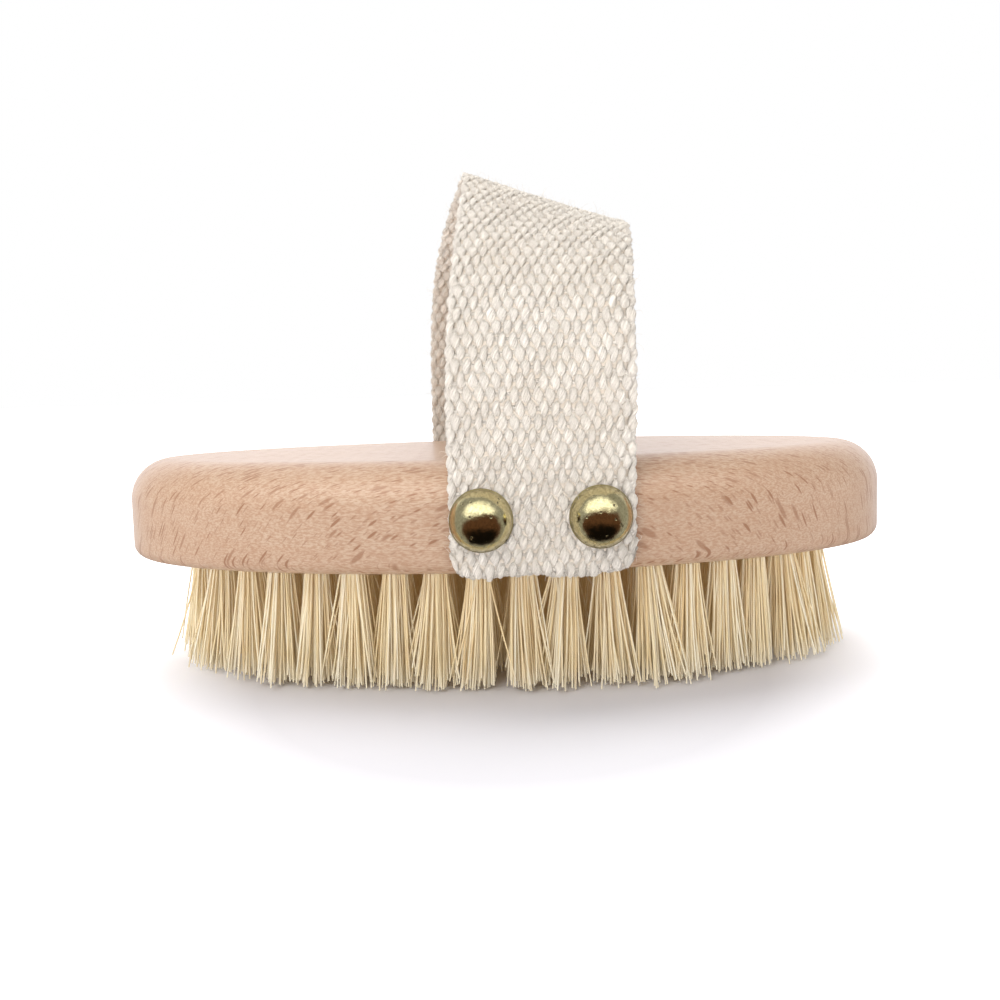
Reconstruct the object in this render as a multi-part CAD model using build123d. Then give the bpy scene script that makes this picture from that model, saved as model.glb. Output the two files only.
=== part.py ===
from build123d import *
import math
import os

# Body dry brush: an oval beech block with tufts of natural bristle set into its underside
# and a cotton webbing hand strap nailed to its two long sides.
# Millimetres. Z is up, the brush stands on its bristle tips at z = 0, X runs along the block.

# ---- driving dimensions -------------------------------------------------------------------
BLOCK_LENGTH = 140.0        # along X
BLOCK_WIDTH = 76.0          # along Y
BLOCK_THICKNESS = 18.0
BLOCK_TOP_ROUND = 7.5       # the edge that the palm meets
BLOCK_BOTTOM_ROUND = 2.5
BRISTLE_LENGTH = 20.0       # what stands out of the wood

HOLE_DIAMETER = 4.0         # blind tuft holes
HOLE_DEPTH = 7.5            # stops under the line of the nails
TUFT_ROOT_DIAMETER = 3.9
TUFT_TIP_DIAMETER = 6.0
TUFT_TIP_ROUND = 0.35
TUFT_TOP_GAP = 0.1          # air left at the bottom of the hole

# rings of tufts follow the oval outline: name, half length, half width, number, start (turns)
RINGS = [
    ("outer", 57.5, 30.5, 40, 0.000),
    ("second", 50.3, 23.4, 34, 0.500 / 34),
    ("third", 43.1, 16.3, 28, 0.000),
    ("fourth", 35.9, 9.2, 22, 0.500 / 22),
]
CENTRE_COUNT = 7            # one straight row in the middle
CENTRE_PITCH = 8.2

ANCHOR_LENGTH = 5.0         # flat wire driven across the foot of each hole
ANCHOR_THICKNESS = 0.6
ANCHOR_HEIGHT = 1.8
ANCHOR_FOOT = 0.3           # wood-side clearance above the anchor

WEB_WIDTH = 29.0            # cotton webbing, sold as 30
WEB_THICKNESS = 2.2
WEB_SEAT = 0.05             # webbing to wood
FRONT_CENTRE = 5.7          # X of the strap's middle on the front side
BACK_CENTRE = -0.8          # and on the back: the loop crosses the block a little askew
WEB_END_DROP = 0.4          # cut end hangs this far below the block's underside
WEB_END_ROUND = 2.5         # its corners, rubbed round

NAIL_SPACING = 18.6
NAIL_SHIFT = -0.5           # the pair sits a little off the strap's middle
NAIL_HEIGHT = 9.0           # above the block's underside
CAP_DIAMETER = 9.8
CAP_HEIGHT = 4.0
CAP_WALL = 0.6
SHANK_DIAMETER = 1.6
SHANK_IN_WOOD = 9.0
SHANK_POINT = 2.4
HEAD_GAP = 0.08             # weld line between the shank's head and the dome

HINGE_HEIGHT = 33.0         # the strap leans about this line
SPLIT_RADIUS_TAB = 15.6     # nailed ends stop on this cylinder about the hinge
SPLIT_RADIUS_LOOP = 16.0    # and the loop starts on this one

# middle surface of the loop: its two edges, from the front side over the hand to the back
LEFT_EDGE = [
    (-8.9, -39.5, 34.0), (-8.9, -39.5, 46.0), (-8.6, -37.0, 57.0), (-7.6, -29.5, 69.5),
    (-6.4, -17.0, 80.8), (-6.0, -3.0, 87.9), (-8.9, 11.0, 84.0), (-12.9, 26.5, 73.5),
    (-14.7, 36.0, 60.0), (-15.2, 38.9, 46.0), (-15.3, 38.7, 34.0),
]
RIGHT_EDGE = [
    (20.2, -38.6, 34.0), (20.2, -40.3, 46.0), (20.1, -41.2, 55.0), (20.4, -37.5, 65.0),
    (21.5, -25.0, 74.0), (21.9, -8.0, 77.6), (20.6, 9.0, 76.8), (17.4, 26.0, 71.0),
    (14.9, 37.6, 60.0), (13.8, 40.2, 47.0), (13.7, 39.5, 34.0),
]

# ---- derived ------------------------------------------------------------------------------
HALF_LENGTH = BLOCK_LENGTH / 2
HALF_WIDTH = BLOCK_WIDTH / 2
UNDERSIDE = BRISTLE_LENGTH
TOP = UNDERSIDE + BLOCK_THICKNESS
NAIL_Z = UNDERSIDE + NAIL_HEIGHT
OUTDIR = "parts"


def ellipse_walk(a, b, count, start):
    """Points spaced evenly along an ellipse of half axes a and b."""
    steps = 3600
    pts = [(a * math.cos(2 * math.pi * i / steps), b * math.sin(2 * math.pi * i / steps))
           for i in range(steps + 1)]
    run = [0.0]
    for p, q in zip(pts, pts[1:]):
        run.append(run[-1] + math.dist(p, q))
    found, i = [], 0
    for k in range(count):
        goal = run[-1] * ((k / count + start) % 1.0)
        i = max(j for j in range(steps) if run[j] <= goal) if goal < run[i] else i
        while run[i + 1] < goal:
            i += 1
        t = (goal - run[i]) / (run[i + 1] - run[i])
        found.append((pts[i][0] + t * (pts[i + 1][0] - pts[i][0]),
                      pts[i][1] + t * (pts[i + 1][1] - pts[i][1])))
    return found


def side_point(x, side, lift=0.0):
    """Where the block's side is at x, and its outward normal there, side being -1 or 1."""
    y = side * HALF_WIDTH * math.sqrt(1 - (x / HALF_LENGTH) ** 2)
    n = Vector(x / HALF_LENGTH ** 2, y / HALF_WIDTH ** 2, 0).normalized()
    return Vector(x, y, NAIL_Z) + n * lift, n


tuft_rows = {name: ellipse_walk(a, b, n, start) for name, a, b, n, start in RINGS}
tuft_rows["centre"] = [((i - (CENTRE_COUNT - 1) / 2) * CENTRE_PITCH, 0.0) for i in range(CENTRE_COUNT)]

nails = {}
for side, sign, centre in (("front", -1, FRONT_CENTRE), ("back", 1, BACK_CENTRE)):
    for end, way in (("left", -1), ("right", 1)):
        nails[f"{side}_{end}"] = side_point(centre + NAIL_SHIFT + way * NAIL_SPACING / 2, sign)

hinge_from = Vector(FRONT_CENTRE, -HALF_WIDTH, HINGE_HEIGHT)
hinge_to = Vector(BACK_CENTRE, HALF_WIDTH, HINGE_HEIGHT)
hinge_dir = (hinge_to - hinge_from).normalized()


# ---- wood block ---------------------------------------------------------------------------
def anchor(x, y):
    z = UNDERSIDE + HOLE_DEPTH - ANCHOR_FOOT - ANCHOR_HEIGHT / 2
    return Pos(x, y, z) * Box(ANCHOR_LENGTH, ANCHOR_THICKNESS, ANCHOR_HEIGHT)


def nail_hole(point, normal):
    """The hole a shank makes, from outside the strap to the shank's point."""
    base = Plane(origin=point - normal * SHANK_IN_WOOD, z_dir=normal)
    return base * shank_shape(SHANK_IN_WOOD + WEB_THICKNESS + 6.0)


def shank_shape(length):
    """A pointed shank standing on its point at the origin, its axis along Z."""
    r = SHANK_DIAMETER / 2
    outline = Polyline((0, 0), (r, SHANK_POINT), (r, length), (0, length), close=True)
    return revolve(Plane.XZ * make_face(outline), Axis.Z)


def make_block():
    body = Pos(0, 0, UNDERSIDE) * extrude(Ellipse(HALF_LENGTH, HALF_WIDTH), BLOCK_THICKNESS)
    body = fillet(body.edges().group_by(Axis.Z)[-1], BLOCK_TOP_ROUND)
    body = fillet(body.edges().group_by(Axis.Z)[0], BLOCK_BOTTOM_ROUND)
    tools = []
    for row in tuft_rows.values():
        for x, y in row:
            hole = Pos(x, y, UNDERSIDE + HOLE_DEPTH / 2 - 0.5) * Cylinder(HOLE_DIAMETER / 2, HOLE_DEPTH + 1)
            tools.append(hole + anchor(x, y))
    tools += [nail_hole(point, normal) for point, normal in nails.values()]
    return body.cut(*[s for t in tools for s in t.solids()])


# ---- bristles and their anchors -----------------------------------------------------------
def make_tuft():
    """One tuft as a solid: straight in its hole, opening out towards the tips."""
    root, tip = TUFT_ROOT_DIAMETER / 2, TUFT_TIP_DIAMETER / 2
    high = UNDERSIDE + HOLE_DEPTH - TUFT_TOP_GAP
    rim = TUFT_TIP_ROUND
    outline = [
        Line((0, 0), (tip - rim, 0)),
        RadiusArc((tip - rim, 0), (tip, rim), -rim),
        Spline((tip, rim), (root + 0.35 * (tip - root), UNDERSIDE * 0.55), (root, UNDERSIDE - 0.4),
               tangents=[(-0.03, 1), (0, 1)]),
        Line((root, UNDERSIDE - 0.4), (root, high)),
        Line((root, high), (0, high)),
        Line((0, high), (0, 0)),
    ]
    body = revolve(Plane.XZ * make_face(Curve() + outline), Axis.Z)
    z = UNDERSIDE + HOLE_DEPTH - ANCHOR_FOOT - ANCHOR_HEIGHT
    return body - Pos(0, 0, z + 2) * Box(ANCHOR_LENGTH, ANCHOR_THICKNESS, 4)


# ---- strap --------------------------------------------------------------------------------
def hinge_cylinder(radius):
    """A long cylinder about the hinge line."""
    middle = (hinge_from + hinge_to) * 0.5
    return Plane(origin=middle, z_dir=hinge_dir) * Cylinder(radius, 200)


def make_tab(side, centre):
    """A nailed end of the webbing, lying along the block's side."""
    inner = Ellipse(HALF_LENGTH + WEB_SEAT, HALF_WIDTH + WEB_SEAT)
    outer = Ellipse(HALF_LENGTH + WEB_SEAT + WEB_THICKNESS, HALF_WIDTH + WEB_SEAT + WEB_THICKNESS)
    low = UNDERSIDE - WEB_END_DROP
    shell = Pos(0, 0, low) * extrude(outer - inner, HINGE_HEIGHT - low + 30)
    strip = Pos(centre, side * HALF_WIDTH, low + 30) * Box(WEB_WIDTH, 40, 60)
    strip = fillet(strip.edges().filter_by(Axis.Y).group_by(Axis.Z)[0], WEB_END_ROUND)
    tab = shell & strip
    tab = tab - [h for name, (p, n) in nails.items() for h in [nail_hole(p, n)]
                 if name.startswith("front" if side < 0 else "back")]
    low_half = Pos(centre, side * HALF_WIDTH, low + (HINGE_HEIGHT - low) / 2) * Box(60, 60, HINGE_HEIGHT - low)
    return tab & (low_half + hinge_cylinder(SPLIT_RADIUS_TAB))


def make_loop():
    """The free part of the webbing, lofted through cross-sections between its two edges."""
    left, right = Spline(*LEFT_EDGE), Spline(*RIGHT_EDGE)
    sections, count = [], 22
    for i in range(count + 1):
        u = i / count
        a, b = left @ u, right @ u
        along = ((left % u) + (right % u)).normalized()
        out = along.cross(b - a).normalized() * (WEB_THICKNESS / 2)
        sections.append(Wire.make_polygon([a - out, b - out, b + out, a + out], close=True))
    loop = Solid.make_loft(sections)
    low = Pos(0, 0, HINGE_HEIGHT - 20) * Box(200, 200, 40)
    return Part() + loop - low - hinge_cylinder(SPLIT_RADIUS_LOOP)


# ---- nails --------------------------------------------------------------------------------
def cap_shape():
    """A pressed dome, its rim on z = 0."""
    r, h, w = CAP_DIAMETER / 2, CAP_HEIGHT, CAP_WALL
    big = (r * r + h * h) / (2 * h)
    ri, hi = r - w, h - w
    small = (ri * ri + hi * hi) / (2 * hi)
    mid_out = (big * math.sin(0.75), h - big + big * math.cos(0.75))
    mid_in = (small * math.sin(0.75), hi - small + small * math.cos(0.75))
    outline = [
        Line((ri, 0), (r, 0)),
        ThreePointArc((r, 0), mid_out, (0, h)),
        Line((0, h), (0, hi)),
        ThreePointArc((0, hi), mid_in, (ri, 0)),
    ]
    return revolve(Plane.XZ * make_face(Curve() + outline), Axis.Z)


def make_nail(point, normal):
    seat = WEB_SEAT + WEB_THICKNESS
    cap = Plane(origin=point + normal * seat, z_dir=normal) * cap_shape()
    foot = Plane(origin=point - normal * SHANK_IN_WOOD, z_dir=normal)
    shank = foot * shank_shape(SHANK_IN_WOOD + seat + CAP_HEIGHT - CAP_WALL - HEAD_GAP)
    return cap, shank


# ---- build and export ---------------------------------------------------------------------
os.makedirs(OUTDIR, exist_ok=True)


def save(node, shapes):
    solids = [s for shape in shapes for s in shape.solids()]
    export_step(solids[0] if len(solids) == 1 else Compound(children=solids), f"{OUTDIR}/{node}.step")
    print(node, len(solids), round(sum(s.volume for s in solids), 1))


save("handle_block", [make_block()])
tuft = make_tuft()
for ring, places in tuft_rows.items():
    save(f"tufts_{ring}", [Pos(x, y, 0) * tuft for x, y in places])
    save(f"anchors_{ring}", [anchor(x, y) for x, y in places])
save("strap_front_end", [make_tab(-1, FRONT_CENTRE)])
save("strap_back_end", [make_tab(1, BACK_CENTRE)])
save("strap_loop", [make_loop()])
for where, (point, normal) in nails.items():
    cap, shank = make_nail(point, normal)
    save(f"nail_{where}_cap", [cap])
    save(f"nail_{where}_shank", [shank])
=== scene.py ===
import math

import bmesh
import bpy
import numpy as np
from mathutils import Matrix, Vector


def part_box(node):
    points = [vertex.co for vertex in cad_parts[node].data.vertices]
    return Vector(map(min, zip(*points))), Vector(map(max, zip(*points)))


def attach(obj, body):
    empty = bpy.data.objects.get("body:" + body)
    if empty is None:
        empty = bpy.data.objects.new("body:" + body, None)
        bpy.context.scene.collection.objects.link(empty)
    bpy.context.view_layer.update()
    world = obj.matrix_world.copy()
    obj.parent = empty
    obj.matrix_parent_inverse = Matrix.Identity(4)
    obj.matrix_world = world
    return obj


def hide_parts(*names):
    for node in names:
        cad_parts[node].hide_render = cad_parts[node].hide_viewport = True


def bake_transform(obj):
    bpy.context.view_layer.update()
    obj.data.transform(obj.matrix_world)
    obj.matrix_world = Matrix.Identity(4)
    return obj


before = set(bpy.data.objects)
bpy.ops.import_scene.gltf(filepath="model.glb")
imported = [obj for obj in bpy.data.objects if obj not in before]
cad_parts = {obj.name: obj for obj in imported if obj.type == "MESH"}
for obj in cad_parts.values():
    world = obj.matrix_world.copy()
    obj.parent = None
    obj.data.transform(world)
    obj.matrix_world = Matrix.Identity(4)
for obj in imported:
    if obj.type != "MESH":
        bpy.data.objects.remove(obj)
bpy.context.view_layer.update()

MM = 0.001

# A body dry brush: oval beech block, tufts of natural bristle, and a woven cotton hand strap
# held by dome tacks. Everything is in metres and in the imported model's frame.

BLOCK_LOW, BLOCK_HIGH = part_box("handle_block")
HALF_LENGTH, HALF_WIDTH = BLOCK_HIGH.x, BLOCK_HIGH.y
UNDERSIDE = BLOCK_LOW.z
BRISTLE_ROOT = UNDERSIDE + 1.5 * MM     # the hairs start a little way up their holes
HOLE_APART = 4.2 * MM                   # no two tuft holes are nearer than this
GOLDEN_ANGLE = 2.39996                  # a turn by which hairs pack a disc evenly

# ---- webbing ----
WEB_WIDTH = 29.0 * MM
WEB_SEAT = 1.1 * MM             # wood to the webbing's middle surface
PICK = 2.12 * MM                # spacing of the weft
WARP_YARNS = 32
YARN_LIFT = 0.36 * MM           # how far a warp yarn rises over a pick
YARN_RADIUS = 0.78 * MM
WEB_CUT_LOW = UNDERSIDE - 0.2 * MM
NAILED = 15 * MM                # length of each end that lies on the block
RELEASE = 14 * MM               # and the length over which it comes free of it
PLY_TWIST = 5.8 * MM            # one turn of a yarn's two plies
CUT_WAVE = 2.2 * MM             # how uneven the cut ends are
CUT_REACH = 8 * MM              # and how far in from the end the yarns move
WEFT_RADIUS = 0.62 * MM
CORE_HALF = 0.20 * MM
FUZZ_DENSITY = 560000.0         # loose fibres on a square metre of yarn
WEFT_STEPS = 18                 # points on one pass of the weft

# the loop's two edges, on the webbing's middle surface, front side first
LEFT_EDGE = [
    (-9.0, -39.2, 42.0), (-8.9, -38.9, 50.0), (-8.6, -36.6, 57.5), (-7.6, -29.5, 69.5),
    (-6.4, -17.0, 80.8), (-6.0, -3.0, 87.9), (-8.9, 11.0, 84.0), (-12.9, 26.5, 73.5),
    (-14.7, 35.6, 60.0), (-15.1, 38.4, 50.0), (-15.2, 39.0, 42.0),
]
RIGHT_EDGE = [
    (20.2, -38.9, 42.0), (20.2, -40.6, 49.0), (20.1, -41.0, 55.5), (20.4, -37.3, 65.0),
    (21.5, -25.0, 74.0), (21.9, -8.0, 77.6), (20.6, 9.0, 76.8), (17.4, 26.0, 71.0),
    (14.9, 37.3, 60.0), (14.0, 40.0, 49.0), (13.7, 39.4, 42.0),
]


# ---- small tools for meshes ----
def mesh_piece(name, verts, faces, material, smooth=True):
    mesh = bpy.data.meshes.new(name)
    mesh.from_pydata([tuple(v) for v in verts], [], faces)
    mesh.update()
    mesh.polygons.foreach_set("use_smooth", [smooth] * len(mesh.polygons))
    piece = bpy.data.objects.new(name, mesh)
    bpy.context.scene.collection.objects.link(piece)
    mesh.materials.append(material)
    return piece


def make_real(name, source, material):
    """The evaluated result of source's modifier as a plain mesh piece; source is removed."""
    graph = bpy.context.evaluated_depsgraph_get()
    mesh = bpy.data.meshes.new_from_object(source.evaluated_get(graph))
    mesh.name = name
    bpy.data.objects.remove(source)
    piece = bpy.data.objects.new(name, mesh)
    bpy.context.scene.collection.objects.link(piece)
    mesh.materials.clear()
    mesh.materials.append(material)
    mesh.polygons.foreach_set("use_smooth", [True] * len(mesh.polygons))
    return piece


def smooth_line(points, count):
    """A natural cubic spline through points, sampled count times along its chords' length."""
    p = np.array(points, float)
    knots = np.concatenate([[0], np.cumsum(np.linalg.norm(np.diff(p, axis=0), axis=1))])
    h = np.diff(knots)
    n = len(p)
    a = np.eye(n)
    b = np.zeros_like(p)
    for i in range(1, n - 1):
        a[i, i - 1:i + 2] = h[i - 1], 2 * (h[i - 1] + h[i]), h[i]
        b[i] = 6 * ((p[i + 1] - p[i]) / h[i] - (p[i] - p[i - 1]) / h[i - 1])
    m = np.linalg.solve(a, b)
    at = np.linspace(0, knots[-1], count)
    i = np.clip(np.searchsorted(knots, at) - 1, 0, n - 2)
    w = (at - knots[i])[:, None]
    v = (knots[i + 1] - at)[:, None]
    g = h[i][:, None]
    return (m[i] * v ** 3 + m[i + 1] * w ** 3) / (6 * g) + \
        (p[i] / g - m[i] * g / 6) * v + (p[i + 1] / g - m[i + 1] * g / 6) * w


# ---- small tools for node trees ----
class Nodes:
    """Adds nodes to a tree and links them as they are made."""

    def __init__(self, tree):
        self.tree = tree

    def add(self, kind, settings=None, **inputs):
        node = self.tree.nodes.new(kind)
        for key, value in (settings or {}).items():
            setattr(node, key, value)
        for key, value in inputs.items():
            self.put(node, key, value)
        return node

    def put(self, node, key, value):
        found = [s for s in node.inputs if s.name.replace(" ", "_") == key and s.enabled]
        socket = node.inputs[int(key[1:])] if key[0] == "i" and key[1:].isdigit() else found[0]
        if isinstance(value, bpy.types.NodeSocket):
            self.tree.links.new(value, socket)
        elif isinstance(value, bpy.types.Node):
            self.tree.links.new(next(s for s in value.outputs if s.enabled), socket)
        else:
            socket.default_value = value

    def math(self, operation, a, b=0.0, c=0.0, clamp=False):
        kind = "ShaderNodeMath"
        return self.add(kind, {"operation": operation, "use_clamp": clamp}, i0=a, i1=b, i2=c).outputs[0]

    def plus(self, a, b):
        return self.math("ADD", a, b)

    def minus(self, a, b, clamp=False):
        return self.math("SUBTRACT", a, b, clamp=clamp)

    def times(self, a, b, clamp=False):
        return self.math("MULTIPLY", a, b, clamp=clamp)

    def over(self, a, b):
        return self.math("DIVIDE", a, b)

    def scaled(self, a, by, then, clamp=False):
        return self.math("MULTIPLY_ADD", a, by, then, clamp)

    def vector(self, operation, a, b=(0, 0, 0)):
        node = self.add("ShaderNodeVectorMath", {"operation": operation}, i0=a)
        if operation == "SCALE":
            self.put(node, "i3", b)
        elif operation not in ("LENGTH", "NORMALIZE"):
            self.put(node, "i1", b)
        return node.outputs["Value" if operation in ("DOT_PRODUCT", "LENGTH") else "Vector"]

    def xyz(self, x=0.0, y=0.0, z=0.0):
        return self.add("ShaderNodeCombineXYZ", i0=x, i1=y, i2=z).outputs[0]

    def split(self, vector):
        return self.add("ShaderNodeSeparateXYZ", i0=vector).outputs

    def blend(self, factor, a, b):
        node = self.add("ShaderNodeMix", {"data_type": "RGBA", "blend_type": "MIX", "clamp_factor": True})
        self.put(node, "i0", factor)
        self.put(node, "i6", a)
        self.put(node, "i7", b)
        return node.outputs[2]

    def ramp(self, value, stops):
        node = self.add("ShaderNodeValToRGB", i0=value)
        while len(node.color_ramp.elements) < len(stops):
            node.color_ramp.elements.new(0.5)
        for element, (at, colour) in zip(node.color_ramp.elements, stops):
            element.position = at
            element.color = colour + (1,)
        return node.outputs[0]

    def noise(self, vector, scale, detail=2.0, rough=0.5):
        return self.add("ShaderNodeTexNoise", Vector=vector, Scale=scale, Detail=detail,
                        Roughness=rough).outputs["Fac"]

    def object_place(self):
        return self.add("ShaderNodeTexCoord").outputs["Object"]

    def attribute(self, name, part="Fac"):
        return self.add("ShaderNodeAttribute", {"attribute_name": name}).outputs[part]

    def relief(self, shader, strength, distance, height):
        bump = self.add("ShaderNodeBump", Strength=strength, Distance=distance, Height=height)
        self.put(shader, "Normal", bump)

    def position(self):
        return self.add("GeometryNodeInputPosition").outputs[0]

    def index(self):
        return self.add("GeometryNodeInputIndex").outputs[0]

    def named(self, name, kind="FLOAT"):
        return self.add("GeometryNodeInputNamedAttribute", {"data_type": kind}, Name=name).outputs[0]

    def store(self, geometry, name, value, kind="FLOAT"):
        return self.add("GeometryNodeStoreNamedAttribute", {"data_type": kind, "domain": "POINT"},
                        Geometry=geometry, Name=name, Value=value).outputs[0]


def new_group(name, kind, inputs, outputs):
    """A node group with named sockets; returns it with its maker, input sockets and output node."""
    tree = bpy.data.node_groups.new(name, kind)
    for label, sort, value in inputs:
        socket = tree.interface.new_socket(name=label, in_out="INPUT", socket_type="NodeSocket" + sort)
        if value is not None:
            socket.default_value = value
    for label, sort in outputs:
        tree.interface.new_socket(name=label, in_out="OUTPUT", socket_type="NodeSocket" + sort)
    maker = Nodes(tree)
    return tree, maker, tree.nodes.new("NodeGroupInput").outputs, tree.nodes.new("NodeGroupOutput")


def new_material(name):
    material = bpy.data.materials.new(name)
    material.use_nodes = True
    tree = material.node_tree
    tree.nodes.clear()
    n = Nodes(tree)
    shader = n.add("ShaderNodeBsdfPrincipled")
    out = n.add("ShaderNodeOutputMaterial")
    tree.links.new(shader.outputs[0], out.inputs["Surface"])
    return material, n, shader


# ---- shared shader effects ----
def make_drift_group():
    """Slow and fine changes of tone that any grown material shows."""
    tree, n, given, out = new_group("tone drift", "ShaderNodeTree",
        [("Vector", "Vector", None), ("Colour", "Color", (0.5, 0.5, 0.5, 1)),
         ("Deep Colour", "Color", (0.3, 0.3, 0.3, 1)), ("Scale", "Float", 40.0),
         ("Amount", "Float", 0.5)],
        [("Colour", "Color")])
    broad = n.noise(given["Vector"], given["Scale"], 3.0, 0.55)
    fine = n.noise(given["Vector"], n.times(given["Scale"], 9.0), 3.0, 0.6)
    mask = n.plus(n.times(broad, 0.7), n.times(fine, 0.3))
    mask = n.times(n.scaled(mask, 2.6, -0.8, clamp=True), given["Amount"])
    tree.links.new(n.blend(mask, given["Colour"], given["Deep Colour"]), out.inputs["Colour"])
    return tree


def make_fibre_group():
    """Fine streaks along one direction, as height and mask: pores in wood, fibres in yarn and bristle."""
    tree, n, given, out = new_group("fibre streaks", "ShaderNodeTree",
        [("Vector", "Vector", None), ("Along", "Float", 300.0),
         ("Across", "Float", 6000.0), ("Contrast", "Float", 2.0)],
        [("Streaks", "Float")])
    parts = n.split(given["Vector"])
    stretched = n.xyz(n.times(parts[0], given["Along"]), n.times(parts[1], given["Across"]),
                      n.times(parts[2], given["Across"]))
    value = n.noise(stretched, 1.0, 3.0, 0.6)
    value = n.scaled(n.minus(value, 0.5), given["Contrast"], 0.5, clamp=True)
    tree.links.new(value, out.inputs["Streaks"])
    return tree


DRIFT, FIBRES = make_drift_group(), make_fibre_group()


def drift(n, vector, colour, deep, scale, amount):
    return n.add("ShaderNodeGroup", {"node_tree": DRIFT}, Vector=vector, Colour=colour, Deep_Colour=deep,
                 Scale=scale, Amount=amount).outputs[0]


def fibres(n, vector, along, across, contrast):
    return n.add("ShaderNodeGroup", {"node_tree": FIBRES}, Vector=vector, Along=along, Across=across,
                 Contrast=contrast).outputs[0]


# ---- wood ----
def make_beech():
    """Beech sawn so that its rays lean: short dark flecks that turn with the surface."""
    material, n, shader = new_material("beech")
    place = n.object_place()
    wander = n.add("ShaderNodeTexNoise", Vector=place, Scale=26.0, Detail=2.0, Roughness=0.5)
    wander = n.vector("SUBTRACT", wander.outputs["Color"], (0.5, 0.5, 0.5))
    bent = n.vector("ADD", place, n.vector("SCALE", wander, 1.6 * MM))
    parts = n.split(bent)
    # the tree's centre lies to one side, so the lean of the rays changes along the block
    lean = n.scaled(parts[0], -1.6, math.radians(17.0))
    sine, cosine = n.math("SINE", lean), n.math("COSINE", lean)
    across = n.plus(n.times(parts[1], cosine), n.times(parts[2], sine))
    radial = n.minus(n.times(parts[2], cosine), n.times(parts[1], sine))

    def rays(along, high, thin, limit, keep, shift):
        cell = n.xyz(n.scaled(parts[0], 1 / along, shift), n.times(radial, 1 / high),
                     n.times(across, 1 / thin))
        cells = n.add("ShaderNodeTexVoronoi", {"voronoi_dimensions": "3D"}, Vector=cell, Scale=1.0,
                      Randomness=1.0)
        chosen = n.math("GREATER_THAN", n.split(cells.outputs["Color"])[0], keep)
        size = n.scaled(n.split(cells.outputs["Color"])[1], 0.5, 0.6)
        near = n.minus(n.times(size, limit), cells.outputs["Distance"])
        return n.times(n.times(near, 9.0, clamp=True), chosen)

    bold = rays(4.6 * MM, 9.0 * MM, 0.62 * MM, 0.36, 0.57, 0.0)
    small = rays(3.2 * MM, 6.5 * MM, 0.34 * MM, 0.34, 0.42, 7.3)
    hair = rays(2.0 * MM, 4.0 * MM, 0.22 * MM, 0.36, 0.40, 3.1)
    flecks = n.math("MAXIMUM", n.times(bold, 0.75), small)
    flecks = n.math("MAXIMUM", flecks, n.times(hair, 0.55))
    rings = n.add("ShaderNodeTexWave",
                  {"wave_type": "BANDS", "bands_direction": "X", "wave_profile": "SAW"},
                  Vector=n.xyz(radial, n.times(parts[0], 0.12), n.times(across, 0.25)),
                  Scale=46.0, Distortion=2.2, Detail=2.0, Detail_Scale=1.2)
    pores = fibres(n, bent, 900.0, 4200.0, 4.4)
    base = drift(n, n.vector("MULTIPLY", bent, (0.45, 1, 1)), (0.605, 0.445, 0.318, 1),
                 (0.465, 0.308, 0.200, 1), 32.0, 0.62)
    colour = n.blend(n.times(rings.outputs["Fac"], 0.20), base, (0.49, 0.285, 0.170, 1))
    colour = n.blend(n.times(n.minus(1.0, pores), 0.85), colour, (0.43, 0.245, 0.145, 1))
    colour = n.blend(n.times(flecks, 0.95), colour, (0.32, 0.155, 0.080, 1))
    n.put(shader, "Base_Color", colour)
    n.put(shader, "Roughness", n.scaled(n.plus(pores, flecks), 0.07, 0.36))
    shader.inputs["Specular IOR Level"].default_value = 0.5
    shader.inputs["Coat Weight"].default_value = 0.45
    shader.inputs["Coat Roughness"].default_value = 0.24
    height = n.plus(n.times(pores, 0.35), n.times(flecks, -0.4))
    n.relief(shader, 0.35, 0.04 * MM, height)
    return material


# ---- cotton ----
def make_cotton(name, light, deep, fuzz=0.35):
    """Plied cotton: its fibres follow the yarn's own length and wound side."""
    material, n, shader = new_material(name)
    place = n.object_place()
    side = n.split(n.attribute("yarn_side", "Vector"))
    along = n.attribute("yarn_along")
    tone = n.attribute("tone")
    lay = n.xyz(n.scaled(tone, 0.7, along), n.times(side[0], 0.6 * MM), n.times(side[1], 0.6 * MM))
    strands = fibres(n, lay, 300.0, 4300.0, 4.6)
    nap = n.noise(place, 2600.0, 4.0, 0.7)
    base = drift(n, place, light, deep, 120.0, 0.5)
    shade = tuple(c * 0.78 for c in deep[:3]) + (1,)
    colour = n.blend(n.times(n.minus(1.0, strands), 0.38), base, shade)
    colour = n.blend(n.times(n.minus(0.58, nap, clamp=True), 1.0), colour, shade)
    colour = n.blend(n.times(tone, 0.15), colour, deep)
    n.put(shader, "Base_Color", colour)
    n.put(shader, "Roughness", n.scaled(strands, 0.1, 0.82))
    shader.inputs["Specular IOR Level"].default_value = 0.18
    shader.inputs["Sheen Weight"].default_value = fuzz
    shader.inputs["Sheen Roughness"].default_value = 0.5
    shader.inputs["Sheen Tint"].default_value = (1.0, 0.97, 0.92, 1)
    height = n.plus(n.times(strands, 0.7), n.times(nap, 0.5))
    n.relief(shader, 1.0, 0.26 * MM, height)
    return material


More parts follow.
